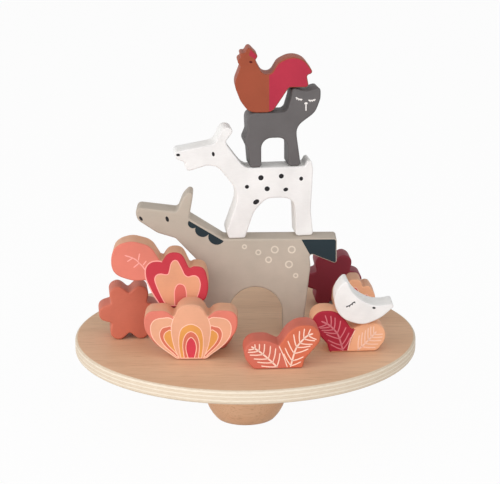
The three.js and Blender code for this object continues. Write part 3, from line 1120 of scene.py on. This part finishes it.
@dataclass
class Lotus(Block):
    """The wide flower at the front, painted with petals inside petals."""

    node: str = "lotus_flower"
    zero: float = 32.72
    paint: Paint = TAN
    face_paints: Paints = (SALMON, PEACH)
    worn: Wear = (Worn((0.0, 38.5), 10.0, 2.6),)
    side_petals: Paths = (
        ((-8.4, 1.5), (-15.4, 4.9), (-22.6, 10.6), (-27.0, 16.4), (-28.4, 21.6), (-28.0, 26.2),
         (-25.2, 29.7), (-19.7, 31.1), (-12.7, 30.1), (-5.0, 18.0)),
        ((-9.0, 2.3), (-13.2, 5.0), (-18.4, 9.9), (-21.4, 14.8), (-22.2, 19.6), (-20.4, 23.4),
         (-17.0, 24.7), (-12.6, 24.3), (-5.0, 13.0)),
        ((-9.2, 3.9), (-12.0, 6.2), (-16.4, 11.0), (-19.0, 15.4), (-19.0, 18.9), (-17.0, 21.2),
         (-13.4, 21.6), (-5.0, 11.0)))
    middle_petal: Path = ((-8.8, 1.1), (-12.0, 9.4), (-13.8, 18.4), (-13.9, 25.0), (-12.5, 30.3))
    middle_bands: Paths = (
        ((-7.5, 1.1), (-8.8, 10.0), (-8.6, 17.8), (-6.4, 23.6), (0.0, 26.6)),
        ((-5.2, 1.1), (-6.1, 9.0), (-5.7, 14.6), (-3.6, 19.2), (0.0, 21.2)),
        ((-2.4, 1.1), (-3.9, 7.6), (-3.5, 12.6), (-1.8, 15.8), (0.0, 16.9)))
    base: Cut = ((-40.0, 0.8), (40.0, 0.8))
    line: tuple[Paint, float] = (OUTLINE, 0.58)
    crown_gap: float = 0.6

    def face_number(self, spot: Vector) -> int:
        """Gives the middle petal's finish along its own edge, and the outer petals' finish elsewhere."""
        return 2 if abs(spot.x) < -self.middle_petal[-1][0] else 1

    def middle_edge(self, inward: float) -> list[Vector]:
        """Gives the middle petal's edge, which follows the block's own edge along its top.

        Args:
            inward: how far its two sides are moved in.

        Returns:
            The edge's points.
        """
        left = smooth_path([(x + inward, z) for x, z in self.middle_petal])
        notch = left[-1]
        crown = [spot for spot in self.face if spot.y > notch.y and abs(spot.x) < -notch.x - self.crown_gap]
        right = [Vector((-spot.x, spot.y, 0)) for spot in reversed(left)]
        return [*left, *sorted(crown, key=lambda spot: spot.x), *right]

    def decorate(self) -> None:
        """Paints the two outer petals, then the middle one over them."""
        line_paint, width = self.line
        self.work.lay(Coat().area(self.face), SALMON, 1)
        level = 2
        for points, fill in zip(self.side_petals, (PEACH, TERRACOTTA, OCHRE)):
            for hand in (1, -1):
                outline = smooth_path([(x * hand, z) for x, z in points[::hand]], closed=True)
                self.work.petal(outline, self.line, fill, level, [self.base])
            level += 2
        self.work.lay(Coat().area(self.middle_edge(0.0), [self.base]), line_paint, level)
        self.work.lay(Coat().area(self.middle_edge(width), [self.base]), PEACH, level + 1)
        for half, fill in zip(self.middle_bands, (OCHRE, TERRACOTTA, CORE_RED)):
            level += 2
            self.work.petal(smooth_path(mirrored(half)), self.line, fill, level, [self.base])


@dataclass(frozen=True)
class Feather:
    """A leaf's main vein with pairs of side veins.

    The side veins leave the spine at the spread angles, left and right. They shorten by the taper towards
    its tip, and by SHRINK until they lie within the margin. SAG is how far they hang, as a share of length.
    """

    spine: Path
    spread: Point
    paint: Paint
    pairs: int = 7
    shares: Point = (0.05, 0.84)
    reach: float = 11.0
    taper: float = 0.55
    margin: float = 1.0
    spine_width: float = 1.15
    vein_width: float = 0.78
    SPINE_STEPS: ClassVar[int] = 16
    SHORTEST: ClassVar[float] = 1.0
    SHRINK: ClassVar[float] = 0.94
    SAG: ClassVar[float] = 0.05

    def coat(self, leaf: Sequence[Vector]) -> Coat:
        """Draws the veins.

        Args:
            leaf: the outline that they stay inside.

        Returns:
            Their coat of paint.
        """
        coat = Coat().lines(self.spine_width, self.spine)
        path = smooth_path(self.spine, steps=self.SPINE_STEPS)
        field_edge = inner_outline(leaf, self.margin)
        for pair in range(self.pairs):
            share = self.shares[0] + (self.shares[1] - self.shares[0]) * pair / (self.pairs - 1)
            i = round(share * (len(path) - 2))
            ahead = (path[i + 1] - path[i]).normalized()
            for hand, angle in zip((1, -1), self.spread):
                away = Matrix.Rotation(math.radians(angle * hand), 3, "Z") @ ahead
                length = self.reach * (1 - self.taper * share ** 2)
                while length > self.SHORTEST and not inside(path[i] + away * length, field_edge):
                    length *= self.SHRINK
                tip = path[i] + away * length
                middle = (path[i] + tip) / 2 - ahead * length * self.SAG
                coat.lines(self.vein_width, [spot.xy[:] for spot in (path[i], middle, tip)])
        return coat


@dataclass
class TwinLeaf(Block):
    """A tall and a low leaf on one foot, each with its own veins."""

    seam: Path = ((0.6, 16.8), (3.7, 9.4), (6.4, 0.9))
    seam_paint: Paint | None = None
    seam_width: float = 0.7
    veins: tuple[Feather, ...] = ()

    def face_number(self, spot: Vector) -> int:
        """Gives the left leaf's finish to the left of the seam, and the right leaf's finish elsewhere."""
        (x0, z0), (x1, z1) = self.seam[0], self.seam[-1]
        return 1 if spot.x < x0 + (spot.y - z0) / (z1 - z0) * (x1 - x0) else 2

    def decorate(self) -> None:
        """Paints the two leaves, the line between them and their veins."""
        top, foot = self.seam[0], self.seam[-1]
        for cut, paint, feather in zip(((foot, top), (top, foot)), self.face_paints, self.veins):
            leaf = keep_left(self.face, [cut])
            outline = [vert.co.copy() for vert in max(leaf.faces, key=lambda face: face.calc_area()).verts]
            leaf.free()
            self.work.lay(Coat().area(self.face, [cut]), paint, 1)
            self.work.lay(feather.coat(outline), feather.paint, 2)
        if self.seam_paint:
            self.work.lay(Coat().lines(self.seam_width, self.seam), self.seam_paint, 3)


@dataclass
class SmallTulip(Block):
    """The peach tulip with a smaller one painted inside it."""

    node: str = "peach_tulip"
    zero: float = 15.74
    paint: Paint = TAN
    face_paints: Paints = (LEAF_PEACH,)
    edge_round: float = 0.95
    inner_half: Path = (
        (-5.0, 1.5), (-9.6, 6.4), (-11.4, 13.0), (-11.2, 19.4), (-10.3, 22.2), (-8.7, 23.3), (-7.2, 22.5),
        (-6.2, 21.4), (-4.9, 21.3), (-3.9, 23.2), (-2.9, 26.4), (-1.6, 28.3), (0.0, 28.9))
    line: tuple[Paint, float] = (OUTLINE, 0.6)

    def decorate(self) -> None:
        """Paints the smaller tulip and the pale line along its edge."""
        self.work.petal(smooth_path(mirrored(self.inner_half)), self.line, HEART, 1)


@dataclass
class TulipBush(Block):
    """One block that joins a round leaf and a red tulip, which has a smaller tulip painted inside it."""

    node: str = "tulip_bush"
    zero: float = 45.6
    paint: Paint = TAN
    face_paints: Paints = (SALMON, TULIP_RED)
    worn: Wear = (
        Worn((-1.0, 39.0), 8.0, 2.2), Worn((18.5, 28.0), 6.0, 1.8), Worn((-43.5, 31.0), 12.0, 3.0))
    left_petal: Path = (
        (-9.4, 33.9), (-11.4, 34.5), (-14.7, 34.5), (-17.5, 33.7), (-19.9, 31.7), (-21.2, 29.1),
        (-21.5, 25.6), (-20.9, 21.2), (-18.9, 16.0), (-16.6, 11.0), (-13.9, 6.2), (-10.6, 1.3))
    inner_tulip: Path = (
        (-6.9, 1.3), (-9.6, 5.8), (-12.5, 12.3), (-14.5, 17.7), (-15.2, 21.2), (-14.4, 23.7),
        (-12.5, 25.1), (-10.1, 25.4), (-8.0, 25.0), (-5.7, 25.1), (-4.7, 27.6), (-3.7, 32.0),
        (-2.2, 34.5), (-0.3, 35.4), (1.6, 34.6), (3.4, 31.5), (5.2, 27.5), (6.6, 24.6), (8.9, 23.2),
        (11.5, 23.9), (13.9, 23.9), (16.0, 22.6), (17.2, 20.0), (17.6, 16.6), (16.6, 11.6), (14.6, 6.6),
        (11.4, 1.3))
    heart: Path = (
        (-1.3, 1.3), (-1.5, 6.7), (-1.4, 12.2), (0.1, 16.5), (2.9, 18.0), (6.2, 16.4), (7.6, 12.1),
        (7.7, 7.2), (7.3, 1.3))
    spine: Path = (
        (-35.8, 38.9), (-31.5, 37.5), (-28.0, 35.7), (-25.4, 33.0), (-23.1, 30.5), (-21.4, 27.6))
    side_veins: Cuts = (
        ((-25.2, 40.3), (-26.2, 35.0)), ((-34.1, 34.3), (-30.2, 36.9)), ((-29.7, 29.9), (-25.4, 33.4)),
        ((-20.5, 34.9), (-22.9, 31.6)))
    vein_width: float = 0.78
    edge_line: float = 0.85
    line: tuple[Paint, float] = (PINK_LINE, 0.68)

    def face_number(self, spot: Vector) -> int:
        """Gives the tulip's finish right of the notch between leaf and tulip, and the leaf's elsewhere."""
        return 2 if spot.x > self.left_petal[0][0] else 1

    def tulip_edge(self) -> list[Vector]:
        """Gives the red tulip's edge: the block's own edge, and the left petal's edge across the leaf.

        Returns:
            The edge's points.
        """
        (notch_x, notch_z), (foot_x, _) = self.left_petal[0], self.left_petal[-1]
        own, _ = one_run(
            self.face, lambda spot: spot.x > notch_x or spot.x > foot_x and spot.y < notch_z / 2)
        return [*own, *smooth_path(self.left_petal)]

    def decorate(self) -> None:
        """Paints the leaf with its veins, then the tulip over it."""
        self.work.lay(Coat().area(self.face), SALMON, 1)
        self.work.lay(Coat().lines(self.vein_width, self.spine, *self.side_veins), PINK_LINE, 2)
        self.work.lay(Coat().area(self.tulip_edge()), TULIP_RED, 3)
        self.work.lay(Coat().lines(self.edge_line, self.left_petal), PINK_LINE, 4)
        self.work.petal(smooth_path(self.inner_tulip), self.line, TAN_PETAL, 5)
        self.work.petal(smooth_path(self.heart), self.line, HEART, 7)


@dataclass
class Moon(Block):
    """The crescent with a closed eye."""

    node: str = "moon"
    zero: float = 13.996
    # The sides and top take the lighter white: painted light.
    paint: Paint = SIDE_WHITE_PAINTED_LIGHT
    face_paints: Paints = (WHITE,)
    edge_round: float = 0.95
    eye: Path = ((-5.9, 13.3), (-4.2, 13.6), (-2.4, 14.7), (-1.0, 16.0), (0.4, 16.7))
    eye_width: float = 0.75
    lashes: Cuts = (
        ((-5.0, 13.5), (-5.6, 12.5)), ((-3.4, 13.9), (-3.4, 12.7)), ((-1.8, 15.1), (-1.2, 14.2)),
        ((-0.5, 16.3), (0.6, 15.7)))
    lash_width: float = 0.55
    dot: Spot = Spot((13.7, 12.0), (1.15, 0.78), -12)

    def decorate(self) -> None:
        """Paints the closed eye with its lashes, and a dot."""
        marks = Coat().lines(self.eye_width, self.eye).dots(self.dot).lines(self.lash_width, *self.lashes)
        self.work.lay(marks, BLACK, 1)


@dataclass
class Board:
    """The round plywood plate and the turned foot under it.

    The plate's faces are what looks up or down more than the face slope. The foot's flat end faces, which
    look up or down more than the foot slope, are shaded flat.
    """

    edge_round: float = 2.0
    edge_steps: int = 8
    sides: int = 192
    face_slope: float = 0.97
    foot_flat: float = 22.0
    foot_rim: float = 0.8
    foot_arc_steps: int = 14
    foot_slope: float = 0.98
    top: Veneer = Veneer("plate_veneer", (237, 199, 165), (224, 184, 150))
    edge: PlyEdge = PlyEdge("plate_ply_edge", (241, 229, 211), (231, 215, 193), (203, 179, 151))
    # The foot's wood is painted lighter than the plate's, to make up for the shade under the plate: painted
    # light.
    turned: Veneer = Veneer("turned_foot_wood", (246, 206, 171), (235, 188, 153), 0.46)

    def plate(self) -> None:
        """Makes the plate, with veneer on both faces and plies on its edge."""
        low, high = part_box("plate")
        radius, thickness = high[0] / MM, (high[2] - low[2]) / MM
        bm = bmesh.new()
        bmesh.ops.create_circle(bm, cap_ends=True, segments=self.sides, radius=radius)
        rounded_slab(bm, bm.faces[:][0], thickness, self.edge_round, self.edge_steps)
        set_in_place(bm, Matrix.Translation((0, 0, (low[2] + high[2]) / 2)) @ Matrix.Scale(MM, 4))
        for face in bm.faces:
            face.smooth = True
            face.material_index = 0 if abs(face.normal.z) > self.face_slope else 1
        finishes = [self.top.material(), self.edge.material(low[2], high[2])]
        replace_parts(as_piece(mesh_object("plywood_plate", bm, finishes), "board"), "plate")

    def foot(self) -> None:
        """Turns the foot: a flat underside, a ball and a short neck up to the plate."""
        low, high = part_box("rocker_foot")
        radius, height = high[0] / MM, (high[2] - low[2]) / MM
        centre = math.sqrt(radius ** 2 - self.foot_flat ** 2)
        start = math.asin(centre / radius)
        profile = [(0.0, 0.0), (self.foot_flat - self.foot_rim, 0.0)]
        for step in range(self.foot_arc_steps + 1):
            angle = start * (1 - step / self.foot_arc_steps)
            profile.append((radius * math.cos(angle), centre - radius * math.sin(angle)))
        profile += [(radius, height), (0.0, height)]
        bm = bmesh.new()
        chain = [bm.verts.new((x * MM, 0, low[2] + z * MM)) for x, z in profile]
        edges = [bm.edges.new(pair) for pair in zip(chain, chain[1:])]
        bmesh.ops.spin(
            bm, geom=[*chain, *edges], cent=(0, 0, 0), axis=UP, angle=math.tau, steps=self.sides // 2,
            use_merge=True)
        bmesh.ops.remove_doubles(bm, verts=bm.verts, dist=MERGE_METRES)
        bmesh.ops.recalc_face_normals(bm, faces=bm.faces)
        for face in bm.faces:
            face.smooth = abs(face.normal.z) < self.foot_slope
        wood = self.turned.material()
        turned = mesh_object("turned_foot", bm, [wood])
        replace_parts(as_piece(turned, "board"), "rocker_foot")
        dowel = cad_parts["foot_dowel"]
        dowel.data.materials.clear()
        dowel.data.materials.append(wood)

    def build(self) -> None:
        """Makes the plate and the foot."""
        self.plate()
        self.foot()


@dataclass(frozen=True)
class Lamp:
    """A soft square lamp that looks at a height on the Z axis, in metres and watts."""

    name: str
    place: Place
    aim_height: float
    size: float
    power: float

    def build(self) -> None:
        """Adds the lamp to the scene."""
        light = bpy.data.lights.new(self.name, "AREA")
        light.size = self.size
        light.energy = self.power
        lamp = linked(bpy.data.objects.new(self.name, light))
        lamp.location = self.place
        ahead = UP * self.aim_height - Vector(self.place)
        lamp.rotation_euler = ahead.to_track_quat("-Z", "Y").to_euler()


@dataclass
class Studio:
    """The pale floor, the soft lamps and the camera, in metres and degrees."""

    camera_place: Place = (0.0, -1.2, 0.4665)
    pitch: float = 15.5
    pan: float = 0.18
    roll: float = -0.31
    focal_pixels: float = 1713.0
    sensor_mm: float = 36.0
    view_end: float = 50.0
    floor_size: float = 14.0
    floor_colour: RGB = (235, 235, 235)
    floor_roughness: float = 0.9
    floor_white: float = 0.955
    ambient: float = 0.36
    lamps: tuple[Lamp, ...] = (
        Lamp("key_lamp", (-1.05, -0.95, 0.8), 0.13, 1.3, 9.0),
        Lamp("left_lamp", (-1.55, -0.25, 0.45), 0.13, 1.2, 6.0),
        Lamp("front_lamp", (0.2, -1.6, 0.85), 0.12, 1.6, 12.0),
        Lamp("side_lamp", (1.2, -1.0, 0.8), 0.13, 1.1, 4.0))

    def camera(self) -> None:
        """Sets the camera where the photograph was taken from."""
        pitch, pan, roll = (math.radians(angle) for angle in (self.pitch, self.pan, self.roll))
        level = math.cos(pitch)
        ahead = Vector((math.sin(pan) * level, math.cos(pan) * level, -math.sin(pitch)))
        right = Vector((math.cos(pan), -math.sin(pan), 0))
        above = right.cross(ahead)
        rolled_right = math.cos(roll) * right + math.sin(roll) * above
        rolled_above = -math.sin(roll) * right + math.cos(roll) * above
        lens = bpy.data.cameras.new("studio_camera")
        lens.sensor_width = self.sensor_mm
        lens.lens = self.sensor_mm * self.focal_pixels / PHOTO_WIDTH
        lens.clip_end = self.view_end
        camera = linked(bpy.data.objects.new("studio_camera", lens))
        turned = Matrix((rolled_right, rolled_above, -ahead)).transposed().to_4x4()
        camera.matrix_world = Matrix.Translation(self.camera_place) @ turned
        bpy.context.scene.camera = camera

    def floor(self) -> None:
        """Lays the white floor, which keeps a light shadow."""
        sheet = NodeSheet(bpy.data.materials.new("studio_floor"))
        sheet.fill(sheet.shader, {"Base Color": linear(self.floor_colour), "Roughness": self.floor_roughness})
        white = sheet.add("Emission", {"Color": linear(PURE_WHITE), "Strength": 1.0}).outputs[0]
        share = sheet.compute("MULTIPLY", sheet.seen(), self.floor_white)
        mixed = sheet.add("MixShader", {0: share, 1: sheet.shader.outputs[0], 2: white}).outputs[0]
        sheet.fill(sheet.nodes["Material Output"], {"Surface": mixed})
        bm = bmesh.new()
        bmesh.ops.create_grid(bm, x_segments=2, y_segments=2, size=self.floor_size / 2)
        mesh_object("studio_floor", bm, [sheet.owner])

    def surround(self) -> None:
        """Sets a white surround that gives a soft, even light."""
        world = bpy.data.worlds.new("studio_surround")
        bpy.context.scene.world = world
        sheet = NodeSheet(world)
        limits = {"Value": sheet.seen(), "To Min": self.ambient, "To Max": 1.0}
        level = sheet.add("MapRange", limits).outputs["Result"]
        sheet.fill(sheet.nodes["Background"], {"Color": linear(PURE_WHITE), "Strength": level})

    def build(self) -> None:
        """Sets up the camera, the floor and the light."""
        self.camera()
        self.floor()
        self.surround()
        for lamp in self.lamps:
            lamp.build()
        bpy.context.scene.view_settings.view_transform = "Standard"


def blocks() -> list[Block]:
    """Lists every block with its paint and decoration.

    Returns:
        The blocks, from the stack down and then around the board.
    """
    orange_low_spine = ((-0.5, 1.1), (-6.4, 7.2), (-13.3, 13.3), (-18.6, 16.8))
    orange_tall_spine = ((8.6, 1.1), (9.9, 6.4), (12.3, 14.2), (15.5, 18.8), (20.2, 23.4), (24.2, 24.9))
    orange_veins = (
        Feather(orange_low_spine, (42, 56), VEIN_PEACH, pairs=6),
        Feather(orange_tall_spine, (42, 56), VEIN_PEACH))
    tall_spine = ((-7.2, 0.9), (-8.5, 5.8), (-10.9, 13.0), (-14.2, 17.5), (-17.9, 20.9), (-22.9, 23.4))
    low_spine = ((3.2, 1.0), (6.8, 4.3), (10.6, 8.0), (13.8, 11.5), (16.6, 14.6))
    red_veins = (Feather(tall_spine, (50, 46), VEIN_PINK), Feather(low_spine, (44, 48), VEIN_PALE, pairs=6))
    coral_veins = tuple(replace(feather, paint=VEIN_PEACH) for feather in red_veins)
    left_tall_seam = ((1.4, 16.3), (-1.8, 9.0), (-3.9, 0.9))
    return [
        Rooster(), Cat(), Dog(), Donkey(), Lotus(), TulipBush(),
        TwinLeaf(
            "orange_twin_leaf", 23.256, CORAL, (CORAL, ORANGE), seam_paint=VEIN_PEACH, veins=orange_veins),
        TwinLeaf(
            "red_twin_leaf", 29.397, LEAF_PEACH, (LEAF_RED, LEAF_PEACH), seam=left_tall_seam,
            seam_paint=VEIN_PALE, veins=red_veins),
        TwinLeaf(
            "coral_twin_leaf", 29.397, STAR_BROWN, (STAR_BROWN, CORAL), seam=left_tall_seam,
            veins=coral_veins),
        Moon(), SmallTulip(), Block("terracotta_star", 22.0, STAR_BROWN),
        Block("burgundy_star", 22.0, BURGUNDY)]


def main() -> None:
    """Builds the studio, the board and the blocks."""
    logging.basicConfig(level=logging.INFO, format="%(name)s: %(message)s")
    Studio().build()
    Board().build()
    for block in blocks():
        block.build()


if __name__ == "__main__":
    main()
